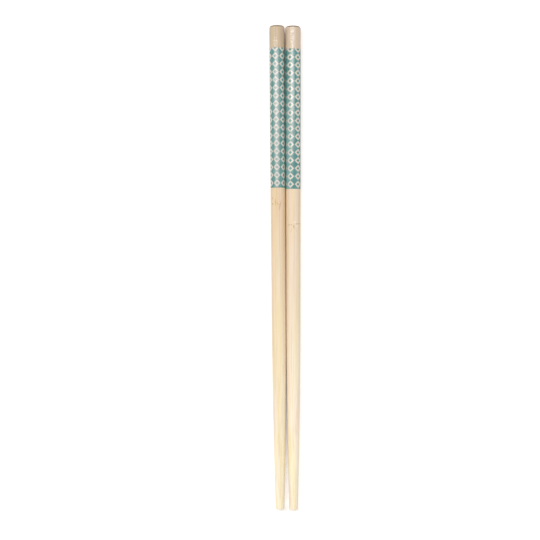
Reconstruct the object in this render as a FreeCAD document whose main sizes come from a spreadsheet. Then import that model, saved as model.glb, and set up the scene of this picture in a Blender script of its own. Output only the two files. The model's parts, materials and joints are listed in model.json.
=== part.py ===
import FreeCAD, Part
import math
import os

import Sketcher

# A pair of printed bamboo chopsticks, lying side by side on a table as they come to rest.
# The row frame has +Z up and its origin on the table under the middle of the pair. The handle
# ends point along +Y and the tips along -Y. Each stick is turned from one piece of bamboo: a
# straight handle that thins only a little, then one long curve down to the tip.

# Driving sizes in millimetres: name, value and what it measures
SIZES = [
    ("stick_length", 240.0, "handle end to tip"),
    ("handle_length", 145.0, "handle end to where the long curve starts"),
    ("handle_diameter", 7.6, "diameter at the handle end, below its rounded edge"),
    ("handle_taper", 0.6, "how much thinner the handle is where the curve starts"),
    ("tip_diameter", 4.2, "diameter at the tip, above its rounded edge"),
    ("handle_rounding", 1.1, "edge radius of the handle end"),
    ("tip_rounding", 0.4, "edge radius of the tip"),
    ("handle_gap", 0.4, "clear gap between the two handle ends"),
    ("shoulder_gap", 0.2, "clear gap where the long curves start"),
    ("stagger", 0.26, "how far the right stick lies nearer to its tip"),
]

os.makedirs("parts", exist_ok=True)
doc = FreeCAD.newDocument("chopsticks")

# The spreadsheet holds one row for each driving size
sheet = doc.addObject("Spreadsheet::Sheet", "sizes")
for row, (size_name, value, meaning) in enumerate(SIZES, start=1):
    sheet.set(f"A{row}", size_name)
    sheet.set(f"B{row}", str(value))
    sheet.setAlias(f"B{row}", size_name)
    sheet.set(f"C{row}", meaning)
doc.recompute()


def size(name):
    """One driving size, read from the spreadsheet."""
    return float(sheet.get(name))


def origin_plane(body, role):
    """One of a body's own origin planes."""
    return next(item for item in body.Origin.OriginFeatures if item.Role == role)


def add_line(sketch, start, end):
    """A straight stretch of outline, and which of its points are its start and its end."""
    return sketch.addGeometry(Part.LineSegment(start, end)), 1, 2


def add_arc(sketch, start, middle, end):
    """A round stretch of outline, and which of its points are its start and its end."""
    arc = sketch.addGeometry(Part.Arc(start, middle, end))
    if sketch.getPoint(arc, 1).distanceToPoint(start) < sketch.getPoint(arc, 2).distanceToPoint(start):
        return arc, 1, 2
    return arc, 2, 1


def bulging_middle(start, end, leaving):
    """Middle of the arc between two points that leaves the first one along a direction."""
    chord = end - start
    outward = FreeCAD.Vector(-chord.y, chord.x, 0).normalize()
    return start + chord / 2 + outward * (chord.Length / 2) * math.tan(chord.getAngle(leaving) / 2)


def drive(sketch, name, constraint, expression):
    """Add a named dimension to a sketch and let it follow the spreadsheet."""
    sketch.renameConstraint(sketch.addConstraint(constraint), name)
    sketch.setExpression("Constraints." + name, expression)


def draw_outline(body):
    """Half of the lengthwise section, closed on the stick's axis, which is the sketch's Y axis."""
    sketch = body.newObject("Sketcher::SketchObject", body.Name + "_outline")
    sketch.AttachmentSupport = [(origin_plane(body, "XY_Plane"), "")]
    sketch.MapMode = "FlatFace"

    length = size("stick_length")
    handle_radius = size("handle_diameter") / 2
    shoulder_radius = handle_radius - size("handle_taper") / 2
    tip_radius = size("tip_diameter") / 2
    handle_rounding = size("handle_rounding")
    tip_rounding = size("tip_rounding")

    # Corners of the outline, from the handle end down to the tip
    handle_centre = FreeCAD.Vector(0, 0, 0)
    face_edge = FreeCAD.Vector(handle_radius - handle_rounding, 0, 0)
    handle_top = FreeCAD.Vector(handle_radius, -handle_rounding, 0)
    shoulder = FreeCAD.Vector(shoulder_radius, -size("handle_length"), 0)
    curve_end = FreeCAD.Vector(tip_radius, tip_rounding - length, 0)
    tip_edge = FreeCAD.Vector(tip_radius - tip_rounding, -length, 0)
    tip_centre = FreeCAD.Vector(0, -length, 0)

    across = FreeCAD.Vector(1, 0, 0)
    down_handle = shoulder - handle_top
    down = FreeCAD.Vector(0, -1, 0)
    stretches = [
        add_line(sketch, handle_centre, face_edge),
        add_arc(sketch, face_edge, bulging_middle(face_edge, handle_top, across), handle_top),
        add_line(sketch, handle_top, shoulder),
        add_arc(sketch, shoulder, bulging_middle(shoulder, curve_end, down_handle), curve_end),
        add_arc(sketch, curve_end, bulging_middle(curve_end, tip_edge, down), tip_edge),
        add_line(sketch, tip_edge, tip_centre),
    ]
    for (before, _, before_end), (after, after_start, _) in zip(stretches, stretches[1:]):
        sketch.addConstraint(Sketcher.Constraint("Tangent", before, before_end, after, after_start))

    root = (-1, 1)
    end_face, handle_rim, handle, curve, tip_rim, tip_face = [stretch[0] for stretch in stretches]
    curve_last = stretches[3][2]
    axis = sketch.addGeometry(Part.LineSegment(tip_centre, handle_centre))
    for rule in [("Coincident", end_face, 1, *root), ("Coincident", tip_face, 2, axis, 1),
                 ("Coincident", axis, 2, end_face, 1), ("Horizontal", end_face),
                 ("Horizontal", tip_face), ("Vertical", axis)]:
        sketch.addConstraint(Sketcher.Constraint(*rule))

    constraint = Sketcher.Constraint
    drive(sketch, "handle_radius", constraint("DistanceX", *root, handle, 1, handle_radius),
          "sizes.handle_diameter / 2")
    drive(sketch, "shoulder_radius", constraint("DistanceX", *root, handle, 2, shoulder_radius),
          "(sizes.handle_diameter - sizes.handle_taper) / 2")
    drive(sketch, "tip_radius", constraint("DistanceX", *root, curve, curve_last, tip_radius),
          "sizes.tip_diameter / 2")
    drive(sketch, "handle_length", constraint("DistanceY", handle, 2, *root, -shoulder.y),
          "sizes.handle_length")
    drive(sketch, "stick_length", constraint("DistanceY", tip_face, 2, *root, length),
          "sizes.stick_length")
    drive(sketch, "handle_rounding", constraint("Radius", handle_rim, handle_rounding),
          "sizes.handle_rounding")
    drive(sketch, "tip_rounding", constraint("Radius", tip_rim, tip_rounding),
          "sizes.tip_rounding")
    doc.recompute()
    return sketch, sketch.Geometry[curve].Radius


def turn_stick(name):
    """One chopstick: its outline turned round its axis."""
    body = doc.addObject("PartDesign::Body", name)
    body.Label = name
    outline, curve_radius = draw_outline(body)
    turned = body.newObject("PartDesign::Revolution", name + "_turned")
    turned.Profile = outline
    turned.ReferenceAxis = (outline, ["V_Axis"])
    turned.Angle = 360
    doc.recompute()
    return body, curve_radius


def resting_lean(balance, curve_radius):
    """Lean, and height of the handle end's centre, as the stick rests under its balance point."""
    sloping_length = size("handle_length") - size("handle_rounding")
    handle_slope = math.atan2(size("handle_taper") / 2, sloping_length)
    past_shoulder = max(balance - size("handle_length"), 0.0)
    before_shoulder = max(size("handle_length") - balance, 0.0)
    lean = math.asin(math.sin(handle_slope) + past_shoulder / curve_radius)
    radius = (size("handle_diameter") - size("handle_taper")) / 2
    radius += before_shoulder * math.tan(handle_slope)
    radius -= curve_radius * (math.cos(handle_slope) - math.cos(lean))
    handle_height = radius * math.cos(lean) + balance * math.sin(lean)
    return math.degrees(lean), handle_height


def lay_down(body, side, curve_radius):
    """Lay a stick on the table, on the left (side -1) or the right (side 1) of the pair."""
    handle_spacing = size("handle_diameter") + size("handle_gap")
    shoulder_spacing = size("handle_diameter") - size("handle_taper") + size("shoulder_gap")
    closing = (handle_spacing - shoulder_spacing) / 2
    turn_in = -side * math.degrees(math.asin(closing / size("handle_length")))
    balance = -body.Shape.Solids[0].CenterOfMass.y
    lean, handle_height = resting_lean(balance, curve_radius)
    handle_end = FreeCAD.Vector(side * handle_spacing / 2,
                                (size("stick_length") - side * size("stagger")) / 2,
                                handle_height)
    body.Placement = FreeCAD.Placement(handle_end, FreeCAD.Rotation(turn_in, 0, lean))


sticks = []
for stick_name, stick_side in [("left_chopstick", -1), ("right_chopstick", 1)]:
    stick, radius_of_curve = turn_stick(stick_name)
    lay_down(stick, stick_side, radius_of_curve)
    sticks.append(stick)
doc.recompute()

for item in doc.Objects:
    if "Invalid" in item.State or "Error" in item.State:
        raise RuntimeError(f"{item.Name} did not rebuild: {item.State}")
for stick in sticks:
    if stick.Shape.isNull() or not stick.Shape.isValid():
        raise RuntimeError(f"{stick.Label} has no valid shape")
for stick in sticks:
    stick.Shape.exportStep(f"parts/{stick.Label}.step")
    box = stick.Shape.optimalBoundingBox(True, False)
    print(stick.Label, f"volume {stick.Shape.Volume:.1f}", f"lowest {box.ZMin:.4f}",
          f"solids {len(stick.Shape.Solids)}")
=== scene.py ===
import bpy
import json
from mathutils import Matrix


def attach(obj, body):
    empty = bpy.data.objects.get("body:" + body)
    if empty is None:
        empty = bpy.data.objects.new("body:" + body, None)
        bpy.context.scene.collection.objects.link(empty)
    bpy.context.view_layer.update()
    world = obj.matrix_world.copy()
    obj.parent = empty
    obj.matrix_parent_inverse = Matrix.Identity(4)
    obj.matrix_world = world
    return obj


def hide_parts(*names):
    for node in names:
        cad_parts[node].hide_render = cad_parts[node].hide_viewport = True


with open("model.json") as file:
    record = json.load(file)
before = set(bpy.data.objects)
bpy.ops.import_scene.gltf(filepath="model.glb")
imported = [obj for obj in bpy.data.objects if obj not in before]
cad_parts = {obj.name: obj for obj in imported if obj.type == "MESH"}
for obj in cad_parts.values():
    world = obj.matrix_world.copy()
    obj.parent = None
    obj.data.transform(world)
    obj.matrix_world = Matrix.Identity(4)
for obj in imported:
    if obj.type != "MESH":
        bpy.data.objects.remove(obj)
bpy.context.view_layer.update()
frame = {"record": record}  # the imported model: its bodies, nodes and record

import json
import math
from types import SimpleNamespace

import bpy
import numpy as np
from mathutils import Vector, noise

# A pair of bamboo chopsticks, lying side by side, with a printed film round each handle.
# Sizes are in metres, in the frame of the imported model. A place on a stick is its distance from
# the handle end and its angle round the stick from the upper side, in degrees, positive towards +X.
# Materials work in millimetres and degrees.

# The stick's outline, as it was turned
STICK_LENGTH = 0.240
HANDLE_LENGTH = 0.145
HANDLE_RADIUS = 0.0038
SHOULDER_RADIUS = 0.0035
TIP_RADIUS = 0.0021
HANDLE_ROUNDING = 0.0011
TIP_ROUNDING = 0.0004

# The printed film: its length and thickness, how far it overlaps itself in degrees, and how
# strongly the print underneath shows there
FILM_LENGTH = 0.0693
FILM_THICKNESS = 0.00003
FILM_OVERLAP = 24.0
FILM_SHOW_THROUGH = 0.35

# The film's ripple: its height, and how fine it is round the stick and along it
FILM_RIPPLE = 0.000008
RIPPLE_ROUND = 3.6
RIPPLE_ALONG = 600

# The motif, in millimetres: a ring with a rounded diamond outline and a diamond hole, one on each
# place of a square lattice. A roundness of 1 is a plain diamond and one of 2 a circle.
MOTIF_PITCH = 3.925
LAST_ROW_TO_EDGE = 2.3
RING_REACH = 1.74
RING_ROUNDNESS = 1.15
HOLE_REACH = 0.84
HOLE_ROUNDNESS = 1.0
PRINT_BLUR = 0.10

# The thin links between the rings: where they fade out and in, in millimetres, and how strong
LINK_EDGE = 0.16
LINK_CORE = 0.02
LINK_STRENGTH = 0.4

# How far the turned surface wanders from a true round, and how fast along the stick
TURNING_WANDER = 0.00002
TURNING_ALONG = 60

# The ridge of a growth node, and the stretch of finer mesh that holds it
NODE_HEIGHT = 0.00004
NODE_WIDTH = 0.0009
NODE_STRETCH_START = 0.095
NODE_STRETCH_END = 0.103

# Places round each ring of the mesh, and rings in each stretch from the handle end to the tip
SEGMENTS = 96
FLAT_END_RINGS = 6
ROUNDING_RINGS = 11
TOP_RINGS = 22
FILM_RINGS = 175
UPPER_SHAFT_RINGS = 26
NODE_RINGS = 34
SHAFT_RINGS = 230
TIP_ROUNDING_RINGS = 8

# The step between a ring on the bamboo and the next one on the film, which keeps the edge sharp
FILM_EDGE = 0.00002

# The unrolled map for baking, in millimetres: three strips of the stick, then its two flat ends
MAP_SPAN = 83.0
MAP_MARGIN = 0.8
STRIP_LENGTH = 80.3
STRIP_PITCH = 24.9
END_COLUMN = 79.4
HANDLE_END_ROW = 5.0
TIP_END_ROW = 14.0

# The lacquer on the bare tops: its index of refraction, and how far its roughness varies
LACQUER_INDEX = 1.6
ROUGHNESS_SPREAD = 0.30

# Where the shaft starts to turn paler, in millimetres from the handle end
SHAFT_PALES_FROM = 70.0

# The camera, straight above the pair
CAMERA_PLACE = (-0.0079, -0.0010, 0.6037)
CAMERA_TURN = -0.22
CAMERA_LENS = 80.5
SENSOR_WIDTH = 36.0

# The light that comes from all round
WORLD_FILL = 0.64

# The floor: its size, how far its open sky is measured, its glow near the pair, and how much more
# it glows where the distance from the middle has grown from the one place to the other
FLOOR_HALF_WIDTH = 6.0
OPEN_SKY_REACH = 0.01
GLOW_NEAR = 0.34
GLOW_RISE = 0.9
GLOW_RISES_FROM = 0.16
GLOW_RISES_TO = 0.6

# Where the shadow past the tips comes in, along the pair
TIP_SHADOW_FROM = -0.1175
TIP_SHADOW_FULL = -0.1215


def srgb(red, green, blue):
    """A colour written as screen values from 0 to 255, as the linear colour that a shader takes."""
    shares = [value / 255 for value in (red, green, blue)]
    linear = [share / 12.92 if share <= 0.04045 else ((share + 0.055) / 1.055) ** 2.4
              for share in shares]
    return (*linear, 1.0)


TEAL = srgb(76, 134, 128)
TEAL_PALE = srgb(103, 153, 150)
# Painted sheen: the grey veil of the highlight over the film
PAINTED_SHEEN_GREY = srgb(176, 180, 178)
# Painted light: the paler teal of a flank that the light falls on
PAINTED_LIGHT_TEAL = srgb(126, 174, 172)
CREAM = srgb(214, 205, 194)
RIM_BROWN = srgb(112, 86, 58)
SHAFT_TIP = srgb(255, 247, 224)
FIBRE_BROWN = srgb(196, 160, 112)
MARK_BROWN = srgb(182, 136, 80)
MARK_GREEN = srgb(168, 148, 62)
# Painted highlight: the pale glints on the bare top
MARK_PALE = srgb(246, 234, 214)
PAINTED_GLINT_PALE = srgb(244, 232, 218)
TISSUE_DARK = srgb(206, 181, 141)
TISSUE_PALE = srgb(230, 207, 170)
BUNDLE_BROWN = srgb(120, 84, 52)

# Colours of the light and the floor, linear as they stand
WHITE_LIGHT = (1.0, 1.0, 1.0)
WARM_LIGHT = (1.0, 0.94, 0.91)
FLOOR_WHITE = (0.88, 0.87, 0.86, 1.0)
GLOW_COLOUR = (1.0, 0.93, 0.92, 1.0)

# Tints that multiply the bamboo's colour
PINKISH = (1.0, 0.92, 0.93, 1.0)
YELLOWISH = (1.0, 0.95, 0.78, 1.0)
DARKER = (0.84, 0.79, 0.70, 1.0)


def mark(distance, angle, reach, spread, tint, strength, tilt=0.0):
    """A lens-shaped mark: reach is half its length in millimetres, spread half its width in degrees."""
    return SimpleNamespace(distance=distance, angle=angle, reach=reach, spread=spread, tint=tint,
                           strength=strength, tilt=tilt)


# Flecks in the bare shafts, and the lines of the right one's growth node
LEFT_MARKS = [
    mark(85.6, -47, 0.9, 6, MARK_BROWN, 0.50),
    mark(87.6, -22, 2.4, 5, MARK_BROWN, 0.50),
    mark(89.2, 16, 3.2, 7, MARK_BROWN, 0.38, tilt=-3),
    mark(88.4, -3, 1.0, 6, MARK_BROWN, 0.45, tilt=14),
    mark(88.4, -48, 0.55, 6, MARK_GREEN, 0.95),
]
RIGHT_MARKS = [
    mark(98.6, -34, 0.28, 12, MARK_BROWN, 0.60),
    mark(98.5, -15, 0.30, 7, MARK_BROWN, 0.55),
    mark(98.1, 28, 0.30, 12, MARK_BROWN, 0.60),
    mark(97.9, 50, 0.28, 12, MARK_BROWN, 0.60),
    mark(99.5, 4, 1.1, 6, MARK_BROWN, 0.55),
    mark(101.3, -18, 1.7, 5, MARK_BROWN, 0.22, tilt=-5),
    mark(101.0, 22, 1.6, 5, MARK_BROWN, 0.20, tilt=5),
    mark(97.3, 12, 0.8, 14, MARK_PALE, 0.45),
    mark(99.2, 30, 0.7, 12, MARK_PALE, 0.40),
]

# Painted sheen: a grey veil laid over the film where the highlight falls, and painted light: a paler teal
# on the right stick's lit left flank
LEFT_PAINTED_SHEEN = [mark(46, -8, 60, 32, PAINTED_SHEEN_GREY, 0.45)]
RIGHT_PAINTED_SHEEN = [mark(38, -6, 38, 24, PAINTED_SHEEN_GREY, 0.36)]
RIGHT_PAINTED_LIGHT = [mark(66, -50, 44, 36, PAINTED_LIGHT_TEAL, 0.90)]

# Painted highlight on the bare top: pale glints where the lamps' reflection falls
LEFT_PAINTED_GLINTS = [mark(8.6, -14, 3.4, 26, PAINTED_GLINT_PALE, 0.45)]
RIGHT_PAINTED_GLINTS = [mark(6.0, -7, 14.0, 22, PAINTED_GLINT_PALE, 0.75)]

# What differs between the two sticks. The film starts at film_start from the handle end and at
# the angle seam. A column of rings starts at the angle column and drifts that many degrees down
# the film, and pitch_round is the angle from one column to the next. The gloss is the lacquer's
# roughness and the ripple how deep its waves are, and lacquer_index is its index of refraction on
# the film. The grain is where in the noise the stick's own grain is taken. The colour shaft is
# the bare bamboo's next to the film and the colour top is that of the bare top. The growth node
# lies that far from the handle end.
# The last three lists of each stick hold painted sheen and painted light on the film, and painted
# highlight glints on the bare top
LEFT = SimpleNamespace(
    name="left_chopstick", mount="left_handle_end", film_start=0.0111, seam=-125.0, column=-16.3,
    drift=9.5, pitch_round=57.5, gloss=0.22, ripple=0.00008, grain=(3.1, 7.7, 1.3),
    lacquer_index=1.6, shaft=srgb(232, 212, 183), top=srgb(206, 190, 168), growth_node=None,
    marks=LEFT_MARKS, painted_sheen=LEFT_PAINTED_SHEEN, painted_light=[], painted_glints=LEFT_PAINTED_GLINTS)
RIGHT = SimpleNamespace(
    name="right_chopstick", mount="right_handle_end", film_start=0.0115, seam=-232.0, column=-24.2,
    drift=1.0, pitch_round=63.5, gloss=0.10, ripple=0.00006, grain=(11.4, 2.6, 5.9),
    lacquer_index=1.5, shaft=srgb(235, 219, 196), top=srgb(214, 199, 180), growth_node=0.0985,
    marks=RIGHT_MARKS, painted_sheen=RIGHT_PAINTED_SHEEN, painted_light=RIGHT_PAINTED_LIGHT, painted_glints=RIGHT_PAINTED_GLINTS)


class Shader:
    """A material whose nodes are added one short call at a time."""

    def __init__(self, name):
        self.material = bpy.data.materials.new(name)
        self.material.use_nodes = True
        self.tree = self.material.node_tree
        self.tree.nodes.clear()

    def node(self, kind, inputs, **settings):
        """A node with its settings, and each input set to a value or joined to an output."""
        made = self.tree.nodes.new(kind)
        for setting, value in settings.items():
            setattr(made, setting, value)
        for socket, value in inputs.items():
            if isinstance(value, bpy.types.NodeSocket):
                self.tree.links.new(value, made.inputs[socket])
            else:
                made.inputs[socket].default_value = value
        return made

    def math(self, operation, *values):
        return self.node("ShaderNodeMath", dict(enumerate(values)), operation=operation).outputs[0]

    def fade(self, value, start, end, share=1.0):
        """Rises smoothly from 0 at start to the share at end, or falls where end is below start."""
        low, high = (0.0, share) if start < end else (share, 0.0)
        start, end = sorted((start, end))
        inputs = {"Value": value, "From Min": start, "From Max": end, "To Min": low, "To Max": high}
        return self.node("ShaderNodeMapRange", inputs, interpolation_type="SMOOTHSTEP").outputs[0]

    def mix(self, share, first, second, blend="MIX"):
        """From the first colour to the second, or to their product with the blend MULTIPLY."""
        colours = {0: share, 6: first, 7: second}
        return self.node("ShaderNodeMix", colours, data_type="RGBA", blend_type=blend).outputs[2]

    def place(self):
        """Where a point lies in its stick, in millimetres: across, up and along."""
        return self.node("ShaderNodeAttribute", {}, attribute_name="place").outputs["Vector"]

    def coordinates(self):
        """Distance along in millimetres and angle round in degrees."""
        parts = self.node("ShaderNodeSeparateXYZ", {"Vector": self.place()}).outputs
        angle = self.math("DEGREES", self.math("ARCTAN2", parts["X"], parts["Y"]))
        return parts["Z"], angle

    def noise(self, stick, across, along, detail=2.0, layer=0.0):
        """Noise with that many waves to the millimetre across and along the stick."""
        offset = [part + layer for part in stick.grain]
        vector = self.node("ShaderNodeVectorMath",
                           {0: self.place(), 1: (across, across, along), 2: offset},
                           operation="MULTIPLY_ADD").outputs[0]
        inputs = {"Vector": vector, "Scale": 1.0, "Detail": detail}
        return self.node("ShaderNodeTexNoise", inputs).outputs[0]

    def bump(self, height, distance):
        inputs = {"Height": height, "Distance": distance, "Strength": 1.0}
        return self.node("ShaderNodeBump", inputs).outputs[0]

    def finish(self, **inputs):
        """The surface shader, straight to the output."""
        named = {name.replace("_", " "): value for name, value in inputs.items()}
        surface = self.node("ShaderNodeBsdfPrincipled", named).outputs[0]
        self.node("ShaderNodeOutputMaterial", {"Surface": surface})
        return self.material


def mark_share(shader, along, angle, spot):
    """How strongly a mark shows: full at its middle and gone at its edge."""
    past = shader.math("SUBTRACT", along, spot.distance)
    lengthwise = shader.math("DIVIDE", past, spot.reach)
    middle = shader.math("MULTIPLY_ADD", past, spot.tilt, spot.angle)
    sideways = shader.math("DIVIDE", shader.math("SUBTRACT", angle, middle), spot.spread)
    squares = shader.math("ADD", shader.math("POWER", lengthwise, 2.0),
                          shader.math("POWER", sideways, 2.0))
    return shader.fade(squares, 1.0, 0.1, spot.strength)


def grained(shader, stick, colour):
    """The colour with broad bands, pinkish and yellowish streaks, and fine brown fibres."""
    bands = shader.noise(stick, across=0.5, along=0.006, detail=1.0)
    streaks = shader.noise(stick, across=1.3, along=0.012, detail=1.0, layer=20.0)
    lines = shader.noise(stick, across=2.4, along=0.020, layer=30.0)
    fibres = shader.noise(stick, across=7.0, along=0.05, layer=40.0)
    colour = shader.mix(shader.fade(bands, 0.45, 0.70, share=0.30), colour, DARKER, "MULTIPLY")
    colour = shader.mix(shader.fade(streaks, 0.51, 0.62), colour, PINKISH, "MULTIPLY")
    colour = shader.mix(shader.fade(streaks, 0.52, 0.40), colour, YELLOWISH, "MULTIPLY")
    colour = shader.mix(shader.fade(lines, 0.52, 0.66, share=0.60), colour, DARKER, "MULTIPLY")
    colour = shader.mix(shader.fade(fibres, 0.55, 0.80, share=0.40), colour, FIBRE_BROWN)
    return colour, fibres


def satin_bamboo(stick):
    """The bare shaft: pale, fibrous and barely shiny, with its growth marks."""
    shader = Shader(stick.name + "_satin_bamboo")
    along, angle = shader.coordinates()
    towards_tip = shader.fade(along, SHAFT_PALES_FROM, 1000 * STICK_LENGTH)
    plain = shader.mix(towards_tip, stick.shaft, SHAFT_TIP)
    colour, fibres = grained(shader, stick, plain)
    for spot in stick.marks:
        colour = shader.mix(mark_share(shader, along, angle, spot), colour, spot.tint)
    roughness = shader.math("MULTIPLY_ADD", fibres, 0.2, 0.42)
    return shader.finish(Base_Color=colour, Roughness=roughness, Specular_IOR_Level=0.3,
                         Normal=shader.bump(fibres, 0.00002))


def lacquered(shader, colour, roughness, waves, depth, index=LACQUER_INDEX):
    """Clear gloss over any colour, with waves of that depth."""
    roughness = shader.math("MULTIPLY_ADD", waves, ROUGHNESS_SPREAD, roughness - ROUGHNESS_SPREAD / 2)
    return shader.finish(Base_Color=colour, Roughness=roughness, IOR=index,
                         Normal=shader.bump(waves, depth))


def varnished_bamboo(stick):
    """The glossy bare top above the film, with painted highlight glints and a dark rim where its edge is
    rounded.
    """
    shader = Shader(stick.name + "_varnished_bamboo")
    along, angle = shader.coordinates()
    colour, _ = grained(shader, stick, stick.top)
    pores = shader.noise(stick, across=2.4, along=2.0, detail=1.0, layer=60.0)
    colour = shader.mix(shader.fade(pores, 0.50, 0.64, share=0.30), colour, DARKER, "MULTIPLY")
    # Painted highlight: pale glints, broken up by the pores, where the lamps' reflection falls
    for spot in stick.painted_glints:
        patch = mark_share(shader, along, angle, spot)
        glint_share = shader.math("MULTIPLY", patch, shader.fade(pores, 0.47, 0.58))
        colour = shader.mix(glint_share, colour, spot.tint)
    rim = shader.fade(along, 0.95, 0.45)
    colour = shader.mix(rim, colour, RIM_BROWN)
    return lacquered(shader, colour, stick.gloss + 0.02, pores, 3 * stick.ripple)


def ring_share(shader, round_cells, along_cells):
    """How much cream ink shows, from the distance to the nearest motif's middle."""
    def from_middle(cells):
        within = shader.math("SUBTRACT", shader.math("FRACT", cells), 0.5)
        return shader.math("MULTIPLY", shader.math("ABSOLUTE", within), MOTIF_PITCH)

    sideways, lengthwise = from_middle(round_cells), from_middle(along_cells)

    def reach(roundness):
        total = shader.math("ADD", shader.math("POWER", sideways, roundness),
                            shader.math("POWER", lengthwise, roundness))
        return shader.math("POWER", total, 1.0 / roundness)

    outside = shader.fade(reach(RING_ROUNDNESS), RING_REACH + PRINT_BLUR, RING_REACH - PRINT_BLUR)
    inside = shader.fade(reach(HOLE_ROUNDNESS), HOLE_REACH - PRINT_BLUR, HOLE_REACH + PRINT_BLUR)
    ring = shader.math("MULTIPLY", outside, inside)
    from_link = shader.math("MINIMUM", sideways, lengthwise)
    link = shader.fade(from_link, LINK_EDGE, LINK_CORE, LINK_STRENGTH)
    past_ring = shader.fade(reach(RING_ROUNDNESS), RING_REACH - PRINT_BLUR, RING_REACH + PRINT_BLUR)
    return shader.math("MAXIMUM", ring, shader.math("MULTIPLY", link, past_ring))


def printed_film(stick):
    """The glossy printed film: cream rings on teal, with a seam where it overlaps itself, and painted
    sheen and painted light laid over them.
    """
    shader = Shader(stick.name + "_printed_film")
    along, angle = shader.coordinates()
    down_film = shader.math("SUBTRACT", along, 1000 * stick.film_start)
    unrolled = shader.math("WRAP", angle, stick.seam + 360.0, stick.seam)
    column = shader.math("MULTIPLY_ADD", down_film, stick.drift / (1000 * FILM_LENGTH), stick.column)
    from_column = shader.math("SUBTRACT", unrolled, column)
    round_cells = shader.math("MULTIPLY_ADD", from_column, 1 / stick.pitch_round, 0.5)
    from_last_row = shader.math("SUBTRACT", down_film, 1000 * FILM_LENGTH - LAST_ROW_TO_EDGE)
    along_cells = shader.math("MULTIPLY_ADD", from_last_row, 1 / MOTIF_PITCH, 0.5)
    rings = ring_share(shader, round_cells, along_cells)

    under_cells = shader.math("ADD", round_cells, 360.0 / stick.pitch_round)
    under = ring_share(shader, under_cells, along_cells)
    overlap_end = stick.seam + FILM_OVERLAP
    overlap = shader.fade(unrolled, overlap_end + 0.5, overlap_end, FILM_SHOW_THROUGH)
    rings = shader.math("MAXIMUM", rings, shader.math("MULTIPLY", under, overlap))

    mottle = shader.noise(stick, across=1.2, along=0.30, detail=3.0, layer=80.0)
    teal = shader.mix(shader.fade(mottle, 0.35, 0.70), TEAL, TEAL_PALE)
    # Painted light: the teal made paler on the right stick's lit left flank
    for spot in stick.painted_light:
        teal = shader.mix(mark_share(shader, along, angle, spot), teal, spot.tint)
    colour = shader.mix(rings, teal, CREAM)
    # Painted sheen: a grey veil over teal and rings where the highlight falls
    for spot in stick.painted_sheen:
        colour = shader.mix(mark_share(shader, along, angle, spot), colour, spot.tint)
    waves = shader.noise(stick, across=2.0, along=0.8, layer=60.0)
    return lacquered(shader, colour, stick.gloss, waves, stick.ripple, stick.lacquer_index)


def end_grain(stick):
    """The cut ends: pale ground tissue with the brown dots of the fibre bundles."""
    shader = Shader(stick.name + "_end_grain")
    offset = (*stick.grain[:2], 0.0)
    flat = shader.node("ShaderNodeVectorMath", {0: shader.place(), 1: (1.0, 1.0, 0.0), 2: offset},
                       operation="MULTIPLY_ADD").outputs[0]
    scattered = {"Vector": flat, "Scale": 2.6, "Randomness": 0.9}
    dots = shader.node("ShaderNodeTexVoronoi", scattered).outputs[0]
    bundles = shader.fade(dots, 0.36, 0.2)
    tissue = shader.noise(stick, across=6.0, along=0.0, detail=3.0, layer=100.0)
    ground = shader.mix(tissue, TISSUE_DARK, TISSUE_PALE)
    colour = shader.mix(shader.math("MULTIPLY", bundles, 0.75), ground, BUNDLE_BROWN)
    return shader.finish(Base_Color=colour, Roughness=shader.math("MULTIPLY_ADD", tissue, 0.2, 0.45),
                         Normal=shader.bump(bundles, 0.00003))


def turned_radius(distance):
    """Radius of the outline at each distance: rounding, handle, long curve and tip rounding."""
    handle_slope = math.atan2(HANDLE_RADIUS - SHOULDER_RADIUS, HANDLE_LENGTH - HANDLE_ROUNDING)
    curve_length = STICK_LENGTH - TIP_ROUNDING - HANDLE_LENGTH
    chord_slope = math.atan2(SHOULDER_RADIUS - TIP_RADIUS, curve_length)
    chord = math.hypot(curve_length, SHOULDER_RADIUS - TIP_RADIUS)
    curve_radius = chord / (2 * math.sin(chord_slope - handle_slope))
    slope = np.arcsin(math.sin(handle_slope) + (distance - HANDLE_LENGTH) / curve_radius)

    short_of_handle = np.clip(HANDLE_ROUNDING - distance, 0.0, HANDLE_ROUNDING)
    rounding = HANDLE_RADIUS - HANDLE_ROUNDING + np.sqrt(HANDLE_ROUNDING ** 2 - short_of_handle ** 2)
    handle = HANDLE_RADIUS - (distance - HANDLE_ROUNDING) * math.tan(handle_slope)
    curve = SHOULDER_RADIUS - curve_radius * (math.cos(handle_slope) - np.cos(slope))
    past_curve = np.clip(distance - STICK_LENGTH + TIP_ROUNDING, 0.0, TIP_ROUNDING)
    tip = TIP_RADIUS - TIP_ROUNDING + np.sqrt(TIP_ROUNDING ** 2 - past_curve ** 2)
    return np.select([distance < HANDLE_ROUNDING, distance < HANDLE_LENGTH,
                      distance < STICK_LENGTH - TIP_ROUNDING], [rounding, handle, curve], tip)


def ring_distances(stick):
    """Distances of the mesh's rings from the handle end, closer where the shape changes fast."""
    film_end = stick.film_start + FILM_LENGTH
    quarter_turn = math.pi / 2
    around_end = HANDLE_ROUNDING * (1 - np.cos(np.linspace(0, quarter_turn, ROUNDING_RINGS)))
    past_curve = TIP_ROUNDING * (1 - np.sin(np.linspace(0, quarter_turn, TIP_ROUNDING_RINGS)))
    around_tip = STICK_LENGTH - past_curve
    stretches = [
        around_end,
        np.linspace(HANDLE_ROUNDING, stick.film_start - FILM_EDGE, TOP_RINGS)[1:],
        np.linspace(stick.film_start, film_end, FILM_RINGS),
        np.linspace(film_end + FILM_EDGE, NODE_STRETCH_START, UPPER_SHAFT_RINGS),
        np.linspace(NODE_STRETCH_START, NODE_STRETCH_END, NODE_RINGS)[1:],
        np.linspace(NODE_STRETCH_END, STICK_LENGTH - TIP_ROUNDING, SHAFT_RINGS)[1:],
        around_tip[1:],
    ]
    return np.concatenate(stretches)


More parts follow.
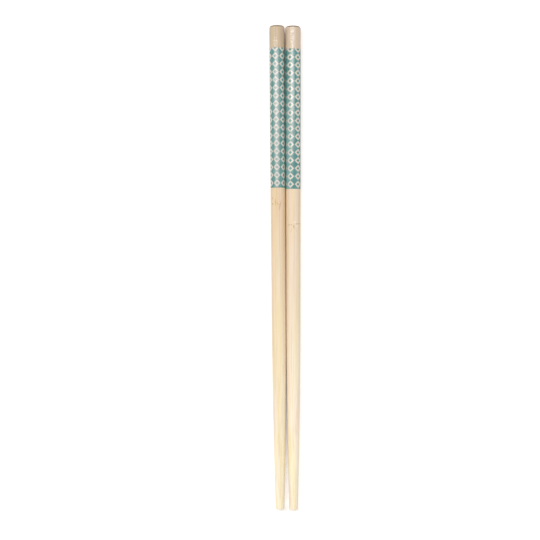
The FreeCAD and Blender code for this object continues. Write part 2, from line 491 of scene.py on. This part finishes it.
def relief(stick, distance, angle):
    """How far the surface stands proud of the turned outline, at one place."""
    across, up = math.sin(math.radians(angle)), math.cos(math.radians(angle))
    shift = Vector(stick.grain)
    height = TURNING_WANDER * noise.noise(Vector((across, up, distance * TURNING_ALONG)) + shift)
    if stick.film_start <= distance <= stick.film_start + FILM_LENGTH:
        past_seam = (angle - stick.seam) % 360.0
        height += FILM_THICKNESS * (2.0 if past_seam < FILM_OVERLAP else 1.0)
        spot = Vector((across * RIPPLE_ROUND, up * RIPPLE_ROUND, distance * RIPPLE_ALONG))
        height += FILM_RIPPLE * noise.noise(spot + shift)
    if stick.growth_node is not None:
        past_node = (distance - stick.growth_node) / NODE_WIDTH
        higher_on_top = 0.6 + 0.4 * up
        height += NODE_HEIGHT * math.exp(-past_node ** 2) * higher_on_top
    return height


def stick_rings(stick):
    """Each ring's distance, the radius at each of its places, and its run down the outline."""
    distances = ring_distances(stick)
    radii = turned_radius(distances)
    steps = np.hypot(np.diff(distances), np.diff(radii))
    runs = np.concatenate([[0.0], np.cumsum(steps)])
    angles = [stick.seam + 360.0 * step / SEGMENTS for step in range(SEGMENTS)]
    shares = np.linspace(0.15, 0.95, FLAT_END_RINGS)
    rings = [(0.0, [radii[0] * share] * SEGMENTS, 0.0) for share in shares]
    for distance, radius, run in zip(distances, radii, runs):
        rings.append((distance, [radius + relief(stick, distance, angle) for angle in angles], run))
    rings += [(STICK_LENGTH, [radii[-1] * share] * SEGMENTS, runs[-1]) for share in shares[::-1]]
    return angles, rings


def stick_faces(rings):
    """Triangles round each end's middle, and four-sided faces from each ring to the next."""
    faces = []
    last = 1 + len(rings) * SEGMENTS
    last_ring = last - SEGMENTS
    for step in range(SEGMENTS):
        after = (step + 1) % SEGMENTS
        faces.append((0, 1 + after, 1 + step))
        for start in range(1, last_ring, SEGMENTS):
            below = start + SEGMENTS
            faces.append((start + step, start + after, below + after, below + step))
        faces.append((last, last_ring + step, last_ring + after))
    return faces


def map_place(places, runs, face_corners, corner, strip):
    """Where a corner of a face lies in the unrolled map, in millimetres."""
    across, up, distance = places[corner]
    if strip is None:
        row = HANDLE_END_ROW if distance < 1.0 else TIP_END_ROW
        return END_COLUMN + across, row + up
    step = (corner - 1) % SEGMENTS
    if step == 0 and any((other - 1) % SEGMENTS == SEGMENTS - 1 for other in face_corners):
        step = SEGMENTS
    turned = 2 * math.pi * math.hypot(across, up) * step / SEGMENTS
    run = runs[(corner - 1) // SEGMENTS]
    return MAP_MARGIN + strip * STRIP_PITCH + turned, MAP_MARGIN + run - strip * STRIP_LENGTH


def add_map(mesh, places, runs):
    """Unrolls the stick into three strips side by side, with its flat ends beside them."""
    layer = mesh.uv_layers.new(name="OFBake")
    for face in mesh.polygons:
        corners = list(face.vertices)
        flat_end = len({places[corner][2] for corner in corners}) == 1
        middle = sum(runs[(corner - 1) // SEGMENTS] for corner in corners) / len(corners)
        strip = None if flat_end else int(middle / STRIP_LENGTH)
        for loop, corner in zip(face.loop_indices, corners):
            column, row = map_place(places, runs, corners, corner, strip)
            layer.data[loop].uv = (column / MAP_SPAN, row / MAP_SPAN)


def stick_mesh(stick):
    """The stick as rings round its axis, closed by flat ends, with its own coordinates stored."""
    mount = next(item for item in frame["record"]["mounts"] if item["name"] == stick.mount)
    handle_end = Vector(mount["pos_m"])
    down_stick = -Vector(mount["axis"]).normalized()
    up = (Vector((0, 0, 1)) - down_stick * down_stick.z).normalized()
    across = up.cross(down_stick)

    angles, rings = stick_rings(stick)
    places = [(0.0, 0.0, 0.0)]
    for distance, ring, _ in rings:
        for angle, radius in zip(angles, ring):
            places.append((1000 * radius * math.sin(math.radians(angle)),
                           1000 * radius * math.cos(math.radians(angle)), 1000 * distance))
    places.append((0.0, 0.0, 1000 * STICK_LENGTH))
    vertices = [handle_end + (across * place[0] + up * place[1] + down_stick * place[2]) / 1000
                for place in places]

    mesh = bpy.data.meshes.new(stick.name + "_visual")
    mesh.from_pydata(vertices, [], stick_faces(rings))
    stored = mesh.attributes.new("place", "FLOAT_VECTOR", "POINT")
    stored.data.foreach_set("vector", np.array(places).ravel())
    runs = [1000 * run for _, _, run in rings]
    add_map(mesh, places, [*runs, runs[-1]])
    return mesh, places


def build_stick(stick):
    """One stick with its four materials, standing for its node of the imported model."""
    mesh, places = stick_mesh(stick)
    for material in (end_grain, varnished_bamboo, printed_film, satin_bamboo):
        mesh.materials.append(material(stick))
    flat_end, bare_top, film, shaft = range(4)
    film_start = 1000 * stick.film_start
    film_end = film_start + 1000 * FILM_LENGTH
    for face in mesh.polygons:
        distances = [places[corner][2] for corner in face.vertices]
        middle = sum(distances) / len(distances)
        if min(distances) == max(distances):
            face.material_index = flat_end
        elif middle < film_start:
            face.material_index = bare_top
        elif middle < film_end:
            face.material_index = film
        else:
            face.material_index = shaft
    mesh.shade_smooth()
    piece = bpy.data.objects.new(stick.name + "_visual", mesh)
    bpy.context.scene.collection.objects.link(piece)
    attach(piece, "root")
    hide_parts(stick.name)


def add_camera():
    """Looks straight down from about 600 mm, with the pair a little right of the middle."""
    data = bpy.data.cameras.new("camera")
    data.sensor_width = SENSOR_WIDTH
    data.lens = CAMERA_LENS
    camera = bpy.data.objects.new("camera", data)
    camera.location = CAMERA_PLACE
    camera.rotation_euler = (0.0, 0.0, math.radians(CAMERA_TURN))
    bpy.context.scene.collection.objects.link(camera)
    bpy.context.scene.camera = camera


def add_light(name, place, width, depth, radiance, colour=WHITE_LIGHT):
    """A soft panel facing down, as bright as a white surface times the radiance."""
    data = bpy.data.lights.new(name, "AREA")
    data.color = colour
    data.shape = "RECTANGLE"
    data.size = width
    data.size_y = depth
    data.energy = radiance * math.pi * width * depth
    light = bpy.data.objects.new(name, data)
    light.location = place
    bpy.context.scene.collection.objects.link(light)


def add_world():
    """White to the camera and in reflections, and a soft fill for the rest."""
    world = bpy.data.worlds.new("studio")
    bpy.context.scene.world = world
    world.use_nodes = True
    nodes, links = world.node_tree.nodes, world.node_tree.links
    nodes.clear()
    path = nodes.new("ShaderNodeLightPath")
    strength = nodes.new("ShaderNodeMath")
    strength.operation = "MAXIMUM"
    strength.inputs[1].default_value = WORLD_FILL
    seen = path.outputs["Is Camera Ray"]
    for ray in ("Is Glossy Ray", "Is Transmission Ray"):
        either = nodes.new("ShaderNodeMath")
        either.operation = "MAXIMUM"
        links.new(seen, either.inputs[0])
        links.new(path.outputs[ray], either.inputs[1])
        seen = either.outputs[0]
    links.new(seen, strength.inputs[0])
    background = nodes.new("ShaderNodeBackground")
    background.inputs["Color"].default_value = (*WHITE_LIGHT, 1.0)
    links.new(strength.outputs[0], background.inputs["Strength"])
    output = nodes.new("ShaderNodeOutputWorld")
    links.new(background.outputs[0], output.inputs["Surface"])


def floor_glow(shader):
    """How much the floor glows: more far away and in the slot between the tips, none under the sticks."""
    where = shader.node("ShaderNodeNewGeometry", {}).outputs["Position"]
    away = shader.node("ShaderNodeVectorMath", {0: where}, operation="LENGTH").outputs["Value"]
    along = shader.node("ShaderNodeSeparateXYZ", {"Vector": where}).outputs["Y"]
    reach = {"Distance": OPEN_SKY_REACH}
    open_sky = shader.node("ShaderNodeAmbientOcclusion", reach, samples=8).outputs["AO"]
    far = shader.fade(away, GLOW_RISES_FROM, GLOW_RISES_TO)
    in_slot = shader.fade(open_sky, 0.50, 0.25, share=0.20)
    uncovered = shader.fade(open_sky, 0.08, 0.20)
    beside_stick = shader.fade(open_sky, 0.95, 0.65, share=0.6)
    past_tips = shader.fade(along, TIP_SHADOW_FROM, TIP_SHADOW_FULL)
    glow = shader.math("MULTIPLY_ADD", far, GLOW_RISE, GLOW_NEAR)
    glow = shader.math("ADD", glow, in_slot)
    glow = shader.math("MULTIPLY", glow, uncovered)
    tip_shadow = shader.math("MULTIPLY", past_tips, beside_stick)
    return shader.math("MULTIPLY", glow, shader.math("SUBTRACT", 1.0, tip_shadow))


def add_floor():
    """A white floor that keeps the sticks' shadow and glows a little to the camera alone."""
    shader = Shader("white_floor")
    seen = shader.node("ShaderNodeLightPath", {}).outputs["Is Camera Ray"]
    strength = shader.math("MULTIPLY", floor_glow(shader), seen)
    surface = shader.finish(Base_Color=FLOOR_WHITE, Roughness=0.9, Specular_IOR_Level=0.0,
                            Emission_Color=GLOW_COLOUR, Emission_Strength=strength)
    mesh = bpy.data.meshes.new("floor")
    half = FLOOR_HALF_WIDTH
    mesh.from_pydata([(-half, -half, 0), (half, -half, 0), (half, half, 0), (-half, half, 0)], [],
                     [(0, 1, 2, 3)])
    mesh.materials.append(surface)
    floor = bpy.data.objects.new("floor", mesh)
    bpy.context.scene.collection.objects.link(floor)


bpy.context.scene.view_settings.view_transform = "Standard"
add_camera()
add_world()
add_light("bright_panel", (-0.475, 0.29, 1.2), width=0.85, depth=0.20, radiance=10.0, colour=WARM_LIGHT)
add_light("side_panel", (0.20, 0.29, 1.2), width=0.50, depth=0.18, radiance=4.0)
add_light("tip_panel", (-0.3, -0.50, 1.2), width=1.60, depth=0.60, radiance=0.8)
add_floor()
for stick in (LEFT, RIGHT):
    build_stick(stick)
